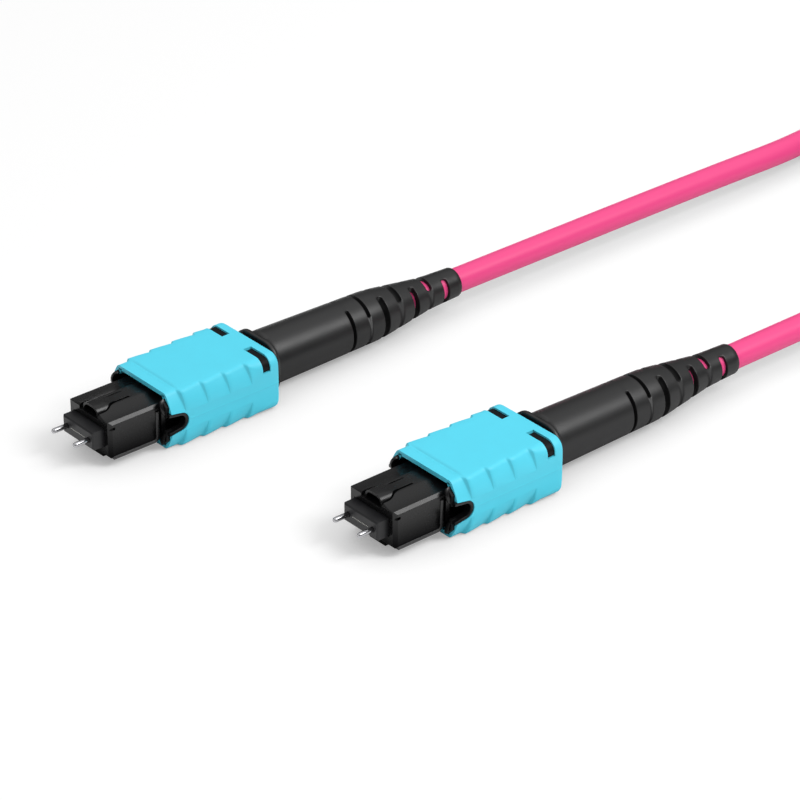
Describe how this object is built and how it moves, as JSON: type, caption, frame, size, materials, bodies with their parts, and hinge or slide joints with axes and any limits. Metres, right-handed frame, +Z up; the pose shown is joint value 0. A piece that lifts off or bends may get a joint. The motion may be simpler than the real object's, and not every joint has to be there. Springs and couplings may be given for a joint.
{
  "type": "fibre patch cable",
  "caption": "Round pink fibre patch cable with a male push-on multi-fibre plug at each end: steel guide pins, black nose, aqua pull sleeve and a slotted boot.",
  "frame": {"origin": "on the surface that the plugs lie on, below the middle of the box round both plugs and their boots, without the free cable", "axes": "+Y runs from the guide pins back along the plugs to the cable, +Z is up from the surface, +X to the right seen from behind the cable"},
  "size_m": [0.0522, 0.1832, 0.0084],
  "materials": {
    "black_housing": "fine moulded satin, black",
    "aqua_grip": "fine moulded satin, aqua",
    "ferrule_compound": "glass-filled moulding with a polished end face",
    "pin_steel": "ground and polished",
    "clamp_steel": "stamped",
    "spring_steel": "drawn wire",
    "plated_brass": "nickel plated",
    "boot_rubber": "smooth moulded, black",
    "soft_rubber": "plain moulded",
    "ribbon_coating": "smooth coating",
    "cable_jacket": "smooth extruded, rose pink",
    "tie_fabric": "woven strap"
  },
  "bodies": {
    "cable_assembly": {"inner_housing_a": "black_housing", "spring_push_a": "black_housing", "crimp_ring_a": "plated_brass", "strain_boot_a": "boot_rubber", "ferrule_spring_a": "spring_steel", "sleeve_spring_left_a": "spring_steel", "sleeve_spring_right_a": "spring_steel", "inner_housing_b": "black_housing", "spring_push_b": "black_housing", "crimp_ring_b": "plated_brass", "strain_boot_b": "boot_rubber", "ferrule_spring_b": "spring_steel", "sleeve_spring_left_b": "spring_steel", "sleeve_spring_right_b": "spring_steel", "cable_lead_a": "cable_jacket", "cable_lead_b": "cable_jacket", "cable_coil": "cable_jacket", "coil_tie": "tie_fabric"},
    "sleeve_a": {"release_sleeve_a": "black_housing", "grip_cover_a": "aqua_grip"},
    "sleeve_b": {"release_sleeve_b": "black_housing", "grip_cover_b": "aqua_grip"},
    "ferrule_unit_a": {"ferrule_a": "ferrule_compound", "guide_pin_left_a": "pin_steel", "guide_pin_right_a": "pin_steel", "pin_clamp_a": "clamp_steel", "ferrule_boot_a": "soft_rubber", "fibre_ribbon_a": "ribbon_coating"},
    "ferrule_unit_b": {"ferrule_b": "ferrule_compound", "guide_pin_left_b": "pin_steel", "guide_pin_right_b": "pin_steel", "pin_clamp_b": "clamp_steel", "ferrule_boot_b": "soft_rubber", "fibre_ribbon_b": "ribbon_coating"}
  },
  "joints": [
    {"name": "sleeve_a_slide", "type": "slide", "parent": "cable_assembly", "child": "sleeve_a", "axis": [0, 1, 0], "range_m": [0, 0.0008], "stiffness_N_per_m": 800, "springref_m": -0.003, "deforming": ["sleeve_spring_left_a", "sleeve_spring_right_a"]},
    {"name": "sleeve_b_slide", "type": "slide", "parent": "cable_assembly", "child": "sleeve_b", "axis": [0, 1, 0], "range_m": [0, 0.0008], "stiffness_N_per_m": 800, "springref_m": -0.003, "deforming": ["sleeve_spring_left_b", "sleeve_spring_right_b"]},
    {"name": "ferrule_a_slide", "type": "slide", "parent": "cable_assembly", "child": "ferrule_unit_a", "axis": [0, 1, 0], "range_m": [0, 0.0006], "stiffness_N_per_m": 2500, "springref_m": -0.004, "deforming": ["ferrule_spring_a"]},
    {"name": "ferrule_b_slide", "type": "slide", "parent": "cable_assembly", "child": "ferrule_unit_b", "axis": [0, 1, 0], "range_m": [0, 0.0006], "stiffness_N_per_m": 2500, "springref_m": -0.004, "deforming": ["ferrule_spring_b"]}
  ]
}
